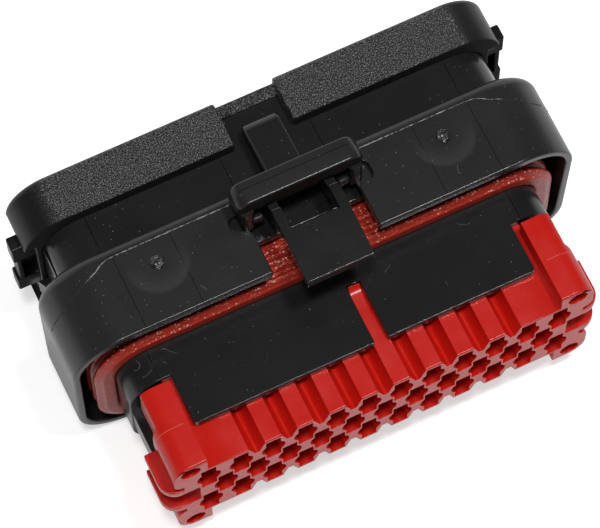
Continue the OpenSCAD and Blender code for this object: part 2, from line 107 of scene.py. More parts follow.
def moulded(name, node, body, radius):
    """A welded copy of a CAD node whose outer edges are rounded by radius(middle, along), in millimetres."""
    bm = bmesh.new()
    bm.from_mesh(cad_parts[node].data)
    bmesh.ops.remove_doubles(bm, verts=bm.verts[:], dist=WELD)
    bmesh.ops.dissolve_limit(bm, angle_limit=COPLANAR, verts=bm.verts[:], edges=bm.edges[:])
    weights = bm.edges.layers.float.new("bevel_weight_edge")
    widest = 0.0
    for edge in bm.edges:
        edge.smooth = True
        if not edge.is_manifold or edge.calc_face_angle(0) < SHARP:
            continue
        r = 0.0
        if edge.is_convex:
            ends = [local(v.co) for v in edge.verts]
            r = radius((ends[0] + ends[1]) / 2, (ends[1] - ends[0]).normalized())
        edge[weights] = r
        edge.smooth = r > 0
        widest = max(widest, r)
    for edge in bm.edges:
        edge[weights] /= widest
    for face in bm.faces:
        face.smooth = True
        face.material_index = 0
    mesh = bpy.data.meshes.new(name)
    bm.to_mesh(mesh)
    bm.free()
    piece = bpy.data.objects.new(name, mesh)
    bpy.context.scene.collection.objects.link(piece)
    rounding = piece.modifiers.new("mould radius", "BEVEL")
    rounding.limit_method = "WEIGHT"
    rounding.width = widest * MM
    rounding.segments = ROUND_STEPS
    rounding.use_clamp_overlap = False
    rounding.material = EDGE_SLOT
    shading = piece.modifiers.new("even shading", "WEIGHTED_NORMAL")
    shading.keep_sharp = True
    plain_mesh(piece)
    low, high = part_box(node)
    for vertex in piece.data.vertices:
        vertex.co = [min(max(at, a), b) for at, a, b in zip(vertex.co, low, high)]
    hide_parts(node)
    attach(piece, body)
    return piece


SEAM_HALF = 0.04


def mould_line(tree, place, axis, at, x_from, z_from):
    """Mask of a hairline at a place along one axis, outside x_from and above z_from, in millimetres."""
    spot = add(tree, "ShaderNodeSeparateXYZ", {"Vector": place})
    reach = add(tree, "ShaderNodeMath", {0: spot.outputs["X"]}, operation="ABSOLUTE")
    where, at = (reach.outputs[0], at * MM) if axis == "X" else (spot.outputs["Y"], FACE_Y + at * MM)
    line = add(tree, "ShaderNodeMath", {0: where, 1: at, 2: SEAM_HALF * MM}, operation="COMPARE")
    out = add(tree, "ShaderNodeMath", {0: reach, 1: x_from * MM}, operation="GREATER_THAN")
    up = add(tree, "ShaderNodeMath", {
        0: spot.outputs["Z"], 1: ROWS_Z + z_from * MM}, operation="GREATER_THAN")
    here = add(tree, "ShaderNodeMath", {0: out, 1: up}, operation="MULTIPLY")
    return add(tree, "ShaderNodeMath", {0: line, 1: here}, operation="MULTIPLY")


GATE_X, GATE_Y, ROOF_TOP = 17.8, 22.15, 14.45
# Size of the painted reflection ring in front of each gate
DISH_GLARE_R, DISH_GLARE_RIM, DISH_GLARE_CORE = 3.9, 0.5, 1.1
DISH_GLARE_REAR, DISH_GLARE_FRONT = 1, 2


def gate_dish_reflection(tree, place):
    """Mask of a painted reflection: a paler ring in front of each gate, where the front rim of a shallow dish
    would catch the light.
    """
    spot = add(tree, "ShaderNodeSeparateXYZ", {"Vector": place})
    reach = add(tree, "ShaderNodeMath", {0: spot.outputs["X"]}, operation="ABSOLUTE")
    folded = add(tree, "ShaderNodeCombineXYZ", {"X": reach, "Y": spot.outputs["Y"], "Z": spot.outputs["Z"]})
    away = add(tree, "ShaderNodeVectorMath", {
        0: folded, 1: placed(GATE_X, GATE_Y, ROOF_TOP)}, operation="DISTANCE").outputs["Value"]
    inside = add(tree, "ShaderNodeMapRange", {"Value": away, 1: DISH_GLARE_R * MM, 2: (DISH_GLARE_R - DISH_GLARE_RIM) * MM})
    outside = add(tree, "ShaderNodeMapRange", {"Value": away, 1: DISH_GLARE_CORE * MM, 2: DISH_GLARE_R * MM})
    ring = add(tree, "ShaderNodeMath", {0: inside, 1: outside}, operation="MULTIPLY")
    front = add(tree, "ShaderNodeMapRange", {
        "Value": spot.outputs["Y"],
        1: FACE_Y + (GATE_Y + DISH_GLARE_REAR) * MM,
        2: FACE_Y + (GATE_Y - DISH_GLARE_FRONT) * MM,
    })
    return add(tree, "ShaderNodeMath", {0: ring, 1: front}, operation="MULTIPLY")


POLYESTER_IOR = 1.57
FLOW, GRAIN, GRAIN_DEPTH = 6, 0.2, 0.014
SPECK_CELL, SPECK_SMALL, SPECK_LARGE = 0.55, 0.03, 0.12
LINT_CURL, LINT_LEVEL, LINT_HALF = 3.6, 0.54, 0.0024
LINT_CELL, LINT_FROM, LINT_LARGE = 3.4, 0.6, 0.4


# Moulded black polyester: a nearly black satin skin with faint flow clouds and a fine grain, settled dust
# and lint on what faces up, a dark hairline where two parts of the mould met and a painted reflection at the
# gates.
def black_polyester(name, face, cloud, gloss, dust, seams=(), painted_dish_reflection=False, mirror=0.4):
    material = bpy.data.materials.new(name)
    material.use_nodes = True
    tree = material.node_tree
    shader = tree.nodes["Principled BSDF"]
    place = add(tree, "ShaderNodeTexCoord").outputs["Object"]
    clouds = add(tree, "ShaderNodeTexNoise", {"Vector": place, "Scale": 1 / (FLOW * MM), "Detail": 4.0})
    paint = add(tree, "ShaderNodeMix", {
        0: clouds, 6: srgb(face), 7: srgb(cloud)}, data_type="RGBA").outputs[2]
    for seam in seams:
        line = mould_line(tree, place, *seam)
        paint = add(tree, "ShaderNodeMix", {
            0: line, 6: paint, 7: srgb("#030303")}, data_type="RGBA").outputs[2]
    # Painted reflection: a paler ring in front of each gate, standing in for the light on a dish's front rim
    if painted_dish_reflection:
        paint = add(tree, "ShaderNodeMix", {
            0: gate_dish_reflection(tree, place), 6: paint, 7: srgb("#373737")}, data_type="RGBA").outputs[2]
    # One speck at most in each cell, and many cells hold none; its size is a share of the cell
    cells = add(tree, "ShaderNodeTexVoronoi", {"Vector": place, "Scale": 1 / (SPECK_CELL * MM)})
    draw = add(tree, "ShaderNodeSeparateColor", {"Color": cells.outputs["Color"]})
    size = add(tree, "ShaderNodeMapRange", {
        "Value": draw, 1: 1 - dust, 2: 1.0, 3: SPECK_SMALL, 4: SPECK_LARGE})
    chosen = add(tree, "ShaderNodeMath", {0: draw, 1: 1 - dust}, operation="GREATER_THAN")
    size = add(tree, "ShaderNodeMath", {0: size, 1: chosen}, operation="MULTIPLY")
    speck = add(tree, "ShaderNodeMath", {0: cells, 1: size}, operation="LESS_THAN")
    # Lint: short pieces of the contour lines of a smooth noise
    curl = add(tree, "ShaderNodeTexNoise", {"Vector": place, "Scale": 1 / (LINT_CURL * MM), "Detail": 1.0})
    strand = add(tree, "ShaderNodeMath", {0: curl, 1: LINT_LEVEL, 2: LINT_HALF}, operation="COMPARE")
    patches = add(tree, "ShaderNodeTexVoronoi", {"Vector": place, "Scale": 1 / (LINT_CELL * MM)})
    patch_draw = add(tree, "ShaderNodeSeparateColor", {"Color": patches.outputs["Color"]})
    patch_size = add(tree, "ShaderNodeMapRange", {
        "Value": patch_draw, 1: LINT_FROM, 2: 1.0, 3: 0.0, 4: LINT_LARGE})
    patch = add(tree, "ShaderNodeMath", {0: patches, 1: patch_size}, operation="LESS_THAN")
    lint = add(tree, "ShaderNodeMath", {0: strand, 1: patch}, operation="MULTIPLY")
    loose = add(tree, "ShaderNodeMath", {0: speck, 1: lint}, operation="MAXIMUM")
    normal = add(tree, "ShaderNodeNewGeometry").outputs["Normal"]
    facing = add(tree, "ShaderNodeSeparateXYZ", {"Vector": normal})
    upward = add(tree, "ShaderNodeMapRange", {"Value": facing.outputs["Z"], 1: 0.3, 2: 0.8, 4: 0.6})
    settled = add(tree, "ShaderNodeMath", {0: loose, 1: upward}, operation="MULTIPLY")
    paint = add(tree, "ShaderNodeMix", {
        0: settled, 6: paint, 7: srgb("#8a8a86")}, data_type="RGBA").outputs[2]
    tree.links.new(paint, shader.inputs["Base Color"])
    sheen = add(tree, "ShaderNodeMapRange", {
        "Value": clouds, 1: 0.3, 2: 0.7, 3: gloss - 0.015, 4: gloss + 0.02})
    tree.links.new(sheen.outputs["Result"], shader.inputs["Roughness"])
    grain = add(tree, "ShaderNodeTexNoise", {"Vector": place, "Scale": 1 / (GRAIN * MM), "Detail": 2.0})
    relief = add(tree, "ShaderNodeBump", {"Height": grain, "Distance": GRAIN_DEPTH * MM, "Strength": 1.0})
    tree.links.new(relief.outputs["Normal"], shader.inputs["Normal"])
    shader.inputs["IOR"].default_value = POLYESTER_IOR
    shader.inputs["Specular IOR Level"].default_value = mirror
    return material


CORE_SEAMS = (("X", 5.7, 0, 11.2), ("X", 22.6, 0, 7.9))
core_face = black_polyester("moulded_black_polyester", "#1c1c1c", "#222222", 0.18, 0.35, CORE_SEAMS)
# Rounded edges: paler, partly rubbed and partly a painted highlight
edge_wear_and_highlight = black_polyester("rubbed_black_polyester_painted_highlight", "#242424", "#2e2e2e", 0.2, 0.1)

GRID_X, GRID_Z = 22.9, 7.3
PLATE_REAR, PLATE_SIDE = 11, 20
PLATE_CORNER, GAP_CORNER, PLATE_EDGE, NOSE_EDGE = 0.6, 0.3, 0.15, 0.18
CATCH_X, CATCH_Y, CATCH_EDGE = 28.2, 29, 0.03


def core_radius(middle, along):
    if abs(middle.x) < GRID_X and abs(middle.z) < GRID_Z:
        return 0.0
    if abs(middle.x) > CATCH_X and middle.y > CATCH_Y:
        return CATCH_EDGE
    if middle.y > PLATE_REAR:
        return NOSE_EDGE
    if abs(along.z) > PARALLEL:
        return PLATE_CORNER if abs(middle.x) > PLATE_SIDE else GAP_CORNER
    return PLATE_EDGE


core = moulded("plug_core", "plug_housing", "housing", core_radius)
dress(core, core_face, edge_wear_and_highlight)

# Shroud with the bridge of the latch, one moulding with the core and of the same black polyester.
# The mould rounds its rim, its slot and the bridge, and closes along a line round its rear edge.
SHROUD_SEAMS = (
    ("Y", 21.8, 31.0, -10.0), ("Y", 23.9, 0, 19.3), ("X", 15.1, 0, 14.2), ("X", 22.1, 0, 14.2))
shroud_face = black_polyester(
    "moulded_black_polyester_shroud", "#222222", "#282828", 0.25, 0.6, SHROUD_SEAMS, True)
# Duller, and painted darker as shade, for the bridge's legs and the bar's front faces
dull_face_painted_shade = black_polyester("dull_black_polyester_painted_shade", "#0c0c0c", "#101010", 0.6, 0.0, mirror=0.15)
BRIDGE_FOOT, BAR_FOOT, FRONTWARD = 14.5, 17.65, -0.5
BAR_LOW, LEG_LOW, ROOF_LOW, RIM_REAR = 17.7, 14.6, 14.2, 17
GATE_SIDE, POCKET_SIDE, POCKET_FRONT = 10, 5.8, 20.5
RIM_EDGE, SLOT_EDGE, BAR_EDGE, POCKET_EDGE, GATE_EDGE = 0.28, 0.2, 0.3, 0.1, 0.05


def shroud_radius(middle, along):
    if middle.z > BAR_LOW:
        return BAR_EDGE
    if middle.z > LEG_LOW:
        return 0.0
    if middle.y < RIM_REAR:
        return RIM_EDGE
    if middle.z > ROOF_LOW and abs(middle.x) > GATE_SIDE:
        return GATE_EDGE
    if middle.z > ROOF_LOW and middle.y > POCKET_FRONT and abs(middle.x) > POCKET_SIDE:
        return POCKET_EDGE
    return SLOT_EDGE


shroud = moulded("shroud_and_bridge", "plug_shroud", "housing", shroud_radius)
dress(shroud, shroud_face, edge_wear_and_highlight, dull_face_painted_shade)
# Painted shade: the bridge's legs and the bar's front faces get the darker dull material
for face in shroud.data.polygons:
    height = local(face.center).z
    if BRIDGE_FOOT < height < BAR_FOOT or height > BAR_FOOT and face.normal.y < FRONTWARD:
        face.material_index = DULL_SHADED_SLOT

# Flash of the mould on the shroud: a fine raised line that runs across the roof and dips round both corners,
# and the two broken stubs where the plastic was let in. Both are the housing's own plastic.
SHROUD_CORNER, CORNER_X, CORNER_Z = 7.0, 24.45, 7.45
FLASH_R, FLASH_SINK, STUB_SINK = 0.09, 0.03, 0.12
LIT_TO, UNLIT_FROM = 25.2, 26.2


def node_group(name, sizes):
    """A geometry tree with its base geometry and a named number input for each of its sizes."""
    tree = bpy.data.node_groups.new(name, "GeometryNodeTree")
    tree.interface.new_socket("Geometry", in_out="OUTPUT", socket_type="NodeSocketGeometry")
    tree.interface.new_socket("Base", in_out="INPUT", socket_type="NodeSocketGeometry")
    for label, value in sizes.items():
        kind = "NodeSocketInt" if isinstance(value, int) else "NodeSocketFloat"
        tree.interface.new_socket(label, in_out="INPUT", socket_type=kind)
    given = tree.nodes.new("NodeGroupInput").outputs
    return tree, given, tree.nodes.new("NodeGroupOutput").inputs["Geometry"]


def grown(name, tree, sizes, points=(), lines=()):
    """A plain mesh piece made by a geometry tree from its sizes and from base points and lines."""
    mesh = bpy.data.meshes.new(name)
    mesh.from_pydata(points, lines, [])
    piece = bpy.data.objects.new(name, mesh)
    bpy.context.scene.collection.objects.link(piece)
    maker = piece.modifiers.new(name, "NODES")
    maker.node_group = tree
    for item in tree.interface.items_tree:
        if item.in_out == "INPUT" and item.name in sizes:
            maker[item.identifier] = sizes[item.name]
    plain_mesh(piece)
    return piece


# Black polyester with painted highlights: pale specks painted where the flash line and the broken stubs catch
# the light, and round the corners of the shroud the line is dull and dark, with no painted highlight.
def black_polyester_painted_highlights(name, highlight_colour, threshold):
    material = bpy.data.materials.new(name)
    material.use_nodes = True
    tree = material.node_tree
    shader = tree.nodes["Principled BSDF"]
    place = add(tree, "ShaderNodeTexCoord").outputs["Object"]
    # Painted highlight: pale specks where the ridge and stubs would catch the lamps, only over the roof
    specks = add(tree, "ShaderNodeTexNoise", {"Vector": place, "Scale": 1 / (0.5 * MM), "Detail": 2.0})
    painted_highlight = add(tree, "ShaderNodeMapRange", {"Value": specks, 1: threshold, 2: 0.7})
    spot = add(tree, "ShaderNodeSeparateXYZ", {"Vector": place})
    reach = add(tree, "ShaderNodeMath", {0: spot.outputs["X"]}, operation="ABSOLUTE")
    roof = add(tree, "ShaderNodeMapRange", {"Value": reach, 1: UNLIT_FROM * MM, 2: LIT_TO * MM})
    painted_highlight = add(tree, "ShaderNodeMath", {0: painted_highlight, 1: roof}, operation="MULTIPLY")
    paint = add(tree, "ShaderNodeMix", {
        0: painted_highlight, 6: srgb("#121212"), 7: srgb(highlight_colour)}, data_type="RGBA")
    tree.links.new(paint.outputs[2], shader.inputs["Base Color"])
    sheen = add(tree, "ShaderNodeMapRange", {"Value": roof, 3: 0.8, 4: 0.3})
    tree.links.new(sheen.outputs["Result"], shader.inputs["Roughness"])
    shader.inputs["IOR"].default_value = POLYESTER_IOR
    return material


# Flash line and gate stubs, both with painted highlights
flash_highlight_material = black_polyester_painted_highlights("flash_black_polyester_painted_highlights", "#9a9a95", 0.4)
stub_highlight_material = black_polyester_painted_highlights("stub_black_polyester_painted_highlights", "#5a5a57", 0.5)

flash_bend = [
    (76, 21.75), (66, 21.8), (56, 21.9), (46, 22.0), (36, 22.25), (26, 22.7), (16, 23.2), (8, 23.6)]
half_line = []
for degrees, y in flash_bend:
    turn = math.radians(degrees)
    r = SHROUD_CORNER - FLASH_SINK
    half_line.append((CORNER_X + r * math.sin(turn), y, CORNER_Z + r * math.cos(turn)))
roof_line = [(CORNER_X, 24.0), (23.7, 24.5), (22.9, 24.82), (21.5, 24.9), (12, 24.9), (4, 24.9)]
half_line += [(x, y, ROOF_TOP - FLASH_SINK) for x, y in roof_line]
flash_points = [placed(x, y, z) for x, y, z in half_line]
flash_points += [placed(-x, y, z) for x, y, z in reversed(half_line)]

flash_sizes = {"Radius": FLASH_R * MM, "Step": 0.2 * MM, "Unevenness": 1.2 * MM}
tree, given, result = node_group("mould_flash", flash_sizes)
path = add(tree, "GeometryNodeMeshToCurve", {"Mesh": given["Base"]})
path = add(tree, "GeometryNodeResampleCurve", {"Curve": path, "Length": given["Step"]}, mode="LENGTH")
per_length = add(tree, "ShaderNodeMath", {0: 1.0, 1: given["Unevenness"]}, operation="DIVIDE")
uneven = add(tree, "ShaderNodeTexNoise", {"Scale": per_length, "Detail": 2.0})
height = add(tree, "ShaderNodeMapRange", {"Value": uneven, 1: 0.3, 2: 0.7, 3: 0.5, 4: 1.25})
section = add(tree, "GeometryNodeCurvePrimitiveCircle", {"Resolution": 8, "Radius": given["Radius"]})
line = add(tree, "GeometryNodeCurveToMesh", {
    "Curve": path, "Profile Curve": section, "Scale": height, "Fill Caps": True})
line = add(tree, "GeometryNodeRealizeInstances", {"Geometry": line})
line = add(tree, "GeometryNodeSetMaterial", {"Geometry": line, "Material": flash_highlight_material})
tree.links.new(line.outputs["Geometry"], result)
links = [(i, i + 1) for i in range(len(flash_points) - 1)]
flash = grown("mould_flash_line", tree, flash_sizes, flash_points, links)
flash.data.shade_smooth()
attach(flash, "housing")

stub_sizes = {"Radius": 0.82 * MM, "Flatness": 0.28, "Roughness": 0.5 * MM, "Grit": 0.5 * MM}
tree, given, result = node_group("gate_stubs", stub_sizes)
lump = add(tree, "GeometryNodeMeshIcoSphere", {"Radius": given["Radius"], "Subdivisions": 5})
low = add(tree, "ShaderNodeCombineXYZ", {"X": 0.9, "Y": 1.1, "Z": given["Flatness"]})
lump = add(tree, "GeometryNodeTransform", {"Geometry": lump, "Scale": low})
stubs = add(tree, "GeometryNodeInstanceOnPoints", {"Points": given["Base"], "Instance": lump})
stubs = add(tree, "GeometryNodeRealizeInstances", {"Geometry": stubs})
per_length = add(tree, "ShaderNodeMath", {0: 1.0, 1: given["Grit"]}, operation="DIVIDE")
grit = add(tree, "ShaderNodeTexNoise", {"Scale": per_length, "Detail": 3.0})
torn = add(tree, "ShaderNodeVectorMath", {
    0: grit.outputs["Color"], 1: (0.5, 0.5, 0.5)}, operation="SUBTRACT")
torn = add(tree, "ShaderNodeVectorMath", {0: torn, "Scale": given["Roughness"]}, operation="SCALE")
stubs = add(tree, "GeometryNodeSetPosition", {"Geometry": stubs, "Offset": torn})
stubs = add(tree, "GeometryNodeSetMaterial", {"Geometry": stubs, "Material": stub_highlight_material})
tree.links.new(stubs.outputs["Geometry"], result)
stub_points = [placed(side * GATE_X, GATE_Y, ROOF_TOP - STUB_SINK) for side in (-1, 1)]
stubs = grown("broken_gate_stubs", tree, stub_sizes, stub_points)
stubs.data.shade_smooth()
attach(stubs, "housing")

# Latch lever: plate with a window, two arms, thumb tab and stubs, moulded in the same black polyester.
# It presses down at the tab and lifts at the plate.
lever_face = black_polyester("moulded_black_polyester_lever", "#1d1d1d", "#232323", 0.16, 0.45)
TAB_EDGE, LEVER_EDGE = 0.42, 0.14
LEVER_SIDE, TAB_FROM = 4.3, 27
LEVER_FRONT = local(Vector(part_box("latch_lever")[0])).y + 0.01


def lever_radius(middle, along):
    if abs(middle.x) > LEVER_SIDE:
        return 0.0
    return TAB_EDGE if middle.y > TAB_FROM else LEVER_EDGE


lever = moulded("press_lever", "latch_lever", "lever", lever_radius)
dress(lever, lever_face, edge_wear_and_highlight, dull_face_painted_shade)
# Painted shade: the lever's sides and front get the darker dull material
for face in lever.data.polygons:
    middle = local(face.center)
    if abs(middle.x) > LEVER_SIDE or middle.y < LEVER_FRONT:
        face.material_index = DULL_SHADED_SLOT

# Interface seal: ring of brick red silicone with three sealing ribs and a plain collar in front.
# Moulded soft, it sits stretched over the nose, and fine glints are painted on its skin as pale specks where
# it faces up.
NOSE_W, NOSE_H, NOSE_R = 26.6, 8.2, 4.3
SEAL_FRONT, SEAL_REAR = 15.3, 20.7
COLLAR_T, BASE_T, RIB_T, RIB_W, RIB_PITCH, RIB_COUNT = 1.3, 1.7, 2.5, 0.9, 1.35, 3
SILICONE_IOR = 1.43
SEAL_FLOW, PAINTED_GLINT_CELL, PAINTED_GLINT_LARGE, PEEL, PEEL_DEPTH = 2.5, 0.32, 0.45, 0.24, 0.08
DULL_TO, SMOOTH_FROM = 25, 27


# Brick red silicone rubber: soft and slightly oily, with an orange-peel skin, and glints painted on as pale
# specks.
def silicone(name, deep, fresh):
    material = bpy.data.materials.new(name)
    material.use_nodes = True
    tree = material.node_tree
    shader = tree.nodes["Principled BSDF"]
    place = add(tree, "ShaderNodeTexCoord").outputs["Object"]
    clouds = add(tree, "ShaderNodeTexNoise", {"Vector": place, "Scale": 1 / (SEAL_FLOW * MM), "Detail": 3.0})
    tone = add(tree, "ShaderNodeMix", {0: clouds, 6: srgb(deep), 7: srgb(fresh)}, data_type="RGBA")
    # Painted highlight: pale glints in random cells, only where the skin faces up
    cells = add(tree, "ShaderNodeTexVoronoi", {"Vector": place, "Scale": 1 / (PAINTED_GLINT_CELL * MM)})
    draw = add(tree, "ShaderNodeSeparateColor", {"Color": cells.outputs["Color"]})
    size = add(tree, "ShaderNodeMapRange", {"Value": draw, 1: 0.1, 2: 1.0, 3: 0.0, 4: PAINTED_GLINT_LARGE})
    painted_glint = add(tree, "ShaderNodeMath", {0: cells, 1: size}, operation="LESS_THAN")
    normal = add(tree, "ShaderNodeNewGeometry").outputs["Normal"]
    facing = add(tree, "ShaderNodeSeparateXYZ", {"Vector": normal})
    upward = add(tree, "ShaderNodeMapRange", {"Value": facing.outputs["Z"], 1: 0.2, 2: 0.8})
    painted_glint = add(tree, "ShaderNodeMath", {0: painted_glint, 1: upward}, operation="MULTIPLY")
    paint = add(tree, "ShaderNodeMix", {
        0: painted_glint, 6: tone.outputs[2], 7: srgb("#e8a89a")}, data_type="RGBA")
    tree.links.new(paint.outputs[2], shader.inputs["Base Color"])
    skin = add(tree, "ShaderNodeTexNoise", {"Vector": place, "Scale": 1 / (PEEL * MM), "Detail": 2.0})
    relief = add(tree, "ShaderNodeBump", {"Height": skin, "Distance": PEEL_DEPTH * MM, "Strength": 1.0})
    tree.links.new(relief.outputs["Normal"], shader.inputs["Normal"])
    # The flat front is dull, but smooth where the ring is stretched round the ends of the nose
    spot = add(tree, "ShaderNodeSeparateXYZ", {"Vector": place})
    reach = add(tree, "ShaderNodeMath", {0: spot.outputs["X"]}, operation="ABSOLUTE")
    inner = add(tree, "ShaderNodeMapRange", {"Value": reach, 1: SMOOTH_FROM * MM, 2: DULL_TO * MM})
    front = add(tree, "ShaderNodeMapRange", {"Value": facing.outputs["Y"], 1: -0.4, 2: -0.8})
    dull = add(tree, "ShaderNodeMath", {0: front, 1: inner}, operation="MULTIPLY")
    sheen = add(tree, "ShaderNodeMapRange", {"Value": dull, 3: 0.2, 4: 0.7})
    tree.links.new(sheen.outputs["Result"], shader.inputs["Roughness"])
    shader.inputs["IOR"].default_value = SILICONE_IOR
    shader.inputs["Specular IOR Level"].default_value = 0.4
    return material


seal_skin = silicone("brick_red_silicone", "#97200f", "#b0301d")

seal_sizes = {
    "Nose Half Width": NOSE_W * MM,
    "Nose Half Height": NOSE_H * MM,
    "Nose Corner": NOSE_R * MM,
    "Collar Thickness": COLLAR_T * MM,
    "Base Step": (BASE_T - COLLAR_T) * MM,
    "Rib Rise": (RIB_T - BASE_T) * MM,
    "Rib Width": RIB_W * MM,
    "Rib Pitch": RIB_PITCH * MM,
    "Rib Count": RIB_COUNT,
    "Length": (SEAL_REAR - SEAL_FRONT) * MM,
    "Edge Radius": 0.3 * MM,
    "Fineness": 0.09 * MM,
}
tree, given, result = node_group("ribbed_seal", seal_sizes)
path = add(tree, "GeometryNodeCurvePrimitiveQuadrilateral", {
    "Width": add(tree, "ShaderNodeMath", {0: given["Nose Half Width"], 1: 2.0}, operation="MULTIPLY"),
    "Height": add(tree, "ShaderNodeMath", {0: given["Nose Half Height"], 1: 2.0}, operation="MULTIPLY"),
})
path = add(tree, "GeometryNodeFilletCurve", {
    "Curve": path, "Radius": given["Nose Corner"], "Count": 12}, mode="POLY")
path = add(tree, "GeometryNodeSetCurveNormal", {"Curve": path}, mode="Z_UP")
section = add(tree, "GeometryNodeCurvePrimitiveQuadrilateral", {
    "Width": given["Collar Thickness"], "Height": given["Length"]})
section = add(tree, "GeometryNodeFilletCurve", {
    "Curve": section, "Radius": given["Edge Radius"], "Count": 4}, mode="POLY")
section = add(tree, "GeometryNodeResampleCurve", {
    "Curve": section, "Length": given["Fineness"]}, mode="LENGTH")
spot = add(tree, "ShaderNodeSeparateXYZ", {"Vector": add(tree, "GeometryNodeInputPosition")})
half_length = add(tree, "ShaderNodeMath", {0: given["Length"], 1: 0.5}, operation="MULTIPLY")
from_rear = add(tree, "ShaderNodeMath", {0: half_length, 1: spot.outputs["Y"]}, operation="SUBTRACT")
turns = add(tree, "ShaderNodeMath", {0: from_rear, 1: given["Rib Pitch"]}, operation="DIVIDE")
in_turn = add(tree, "ShaderNodeMath", {0: turns}, operation="FRACT")
to_crest = add(tree, "ShaderNodeMath", {0: in_turn, 1: 0.5}, operation="SUBTRACT")
off_crest = add(tree, "ShaderNodeMath", {0: to_crest}, operation="ABSOLUTE")
off_crest = add(tree, "ShaderNodeMath", {0: off_crest, 1: given["Rib Pitch"]}, operation="MULTIPLY")
half_rib = add(tree, "ShaderNodeMath", {0: given["Rib Width"], 1: 0.5}, operation="MULTIPLY")
share = add(tree, "ShaderNodeMath", {0: off_crest, 1: half_rib}, operation="DIVIDE")
share = add(tree, "ShaderNodeMath", {0: share, 1: 2.0}, operation="POWER")
left = add(tree, "ShaderNodeMath", {0: 1.0, 1: share}, operation="SUBTRACT")
left = add(tree, "ShaderNodeMath", {0: left, 1: 0.0}, operation="MAXIMUM")
crown = add(tree, "ShaderNodeMath", {0: left}, operation="SQRT")
crown = add(tree, "ShaderNodeMath", {0: crown, 1: given["Rib Rise"]}, operation="MULTIPLY")
rise = add(tree, "ShaderNodeMath", {0: given["Base Step"], 1: crown}, operation="ADD")
span = add(tree, "ShaderNodeMath", {0: given["Rib Pitch"], 1: given["Rib Count"]}, operation="MULTIPLY")
in_ribs = add(tree, "ShaderNodeMath", {0: from_rear, 1: span}, operation="LESS_THAN")
outer = add(tree, "ShaderNodeMath", {0: spot.outputs["X"], 1: 0.0}, operation="GREATER_THAN")
there = add(tree, "ShaderNodeMath", {0: in_ribs, 1: outer}, operation="MULTIPLY")
push = add(tree, "ShaderNodeMath", {0: rise, 1: there}, operation="MULTIPLY")
push = add(tree, "ShaderNodeCombineXYZ", {"X": push})
section = add(tree, "GeometryNodeSetPosition", {"Geometry": section, "Offset": push})
half_collar = add(tree, "ShaderNodeMath", {0: given["Collar Thickness"], 1: 0.5}, operation="MULTIPLY")
outward = add(tree, "ShaderNodeCombineXYZ", {"X": half_collar})
section = add(tree, "GeometryNodeTransform", {"Geometry": section, "Translation": outward})
ring = add(tree, "GeometryNodeCurveToMesh", {"Curve": path, "Profile Curve": section})
ring = add(tree, "GeometryNodeRealizeInstances", {"Geometry": ring})
ring = add(tree, "GeometryNodeSetMaterial", {"Geometry": ring, "Material": seal_skin})
tree.links.new(ring.outputs["Geometry"], result)

seal = grown("ribbed_interface_seal", tree, seal_sizes)
seal.data.transform(Matrix.Rotation(math.radians(-90), 4, "X"))
seal.data.transform(Matrix.Translation((0, FACE_Y + (SEAL_FRONT + SEAL_REAR) / 2 * MM, ROWS_Z)))
seal.data.shade_smooth()
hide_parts("interface_seal")
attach(seal, "housing")

# Wedge lock: ribbed block with the contact openings, four corner pillars and the lips at its ends.
# Moulded in glossy red polyester; it slides in from the front and locks the contacts.
RED_FLOW, RED_GRAIN, RED_GRAIN_DEPTH = 4, 0.22, 0.012
# A pale line painted across the pillars as the highlight of a fine parting ridge
PILLAR_LINE_HIGHLIGHT = ("Y", 5.15, 22.6, 8.0)


# Moulded red polyester: glossy, with faint flow clouds, a fine grain and a painted highlight along a line
# across the pillars.
def red_polyester(name, face, cloud, gloss):
    material = bpy.data.materials.new(name)
    material.use_nodes = True
    tree = material.node_tree
    shader = tree.nodes["Principled BSDF"]
    place = add(tree, "ShaderNodeTexCoord").outputs["Object"]
    clouds = add(tree, "ShaderNodeTexNoise", {"Vector": place, "Scale": 1 / (RED_FLOW * MM), "Detail": 4.0})
    tone = add(tree, "ShaderNodeMix", {0: clouds, 6: srgb(face), 7: srgb(cloud)}, data_type="RGBA")
    # Painted highlight along the pillars' parting line
    line = mould_line(tree, place, *PILLAR_LINE_HIGHLIGHT)
    paint = add(tree, "ShaderNodeMix", {
        0: line, 6: tone.outputs[2], 7: srgb("#d8564c")}, data_type="RGBA")
    tree.links.new(paint.outputs[2], shader.inputs["Base Color"])
    sheen = add(tree, "ShaderNodeMapRange", {
        "Value": clouds, 1: 0.3, 2: 0.7, 3: gloss - 0.04, 4: gloss + 0.06})
    tree.links.new(sheen.outputs["Result"], shader.inputs["Roughness"])
    grain = add(tree, "ShaderNodeTexNoise", {
        "Vector": place, "Scale": 1 / (RED_GRAIN * MM), "Detail": 2.0})
    relief = add(tree, "ShaderNodeBump", {
        "Height": grain, "Distance": RED_GRAIN_DEPTH * MM, "Strength": 1.0})
    tree.links.new(relief.outputs["Normal"], shader.inputs["Normal"])
    shader.inputs["IOR"].default_value = POLYESTER_IOR
    shader.inputs["Specular IOR Level"].default_value = 0.4
    return material


wedge_face = red_polyester("moulded_red_polyester", "#c2170d", "#ca1d13", 0.25)
# Rounded edges of the wedge: lighter red, partly rubbed and partly a painted highlight
red_edge_wear_and_highlight = red_polyester("rubbed_red_polyester_painted_highlight", "#cb2a20", "#d6362c", 0.2)
BLOCK_X, BLOCK_Z, RAMP_FOOT, FRONT_Y = 22.45, 6.7, 7.2, 0.1
HOLE_X, HOLE_Z, HOLE_REACH = 24.1, 7.95, 1.4
OPENING_EDGE, HOLE_EDGE, RIB_EDGE, PILLAR_EDGE, FRONT_EDGE = 0.05, 0.08, 0.2, 0.12, 0.28


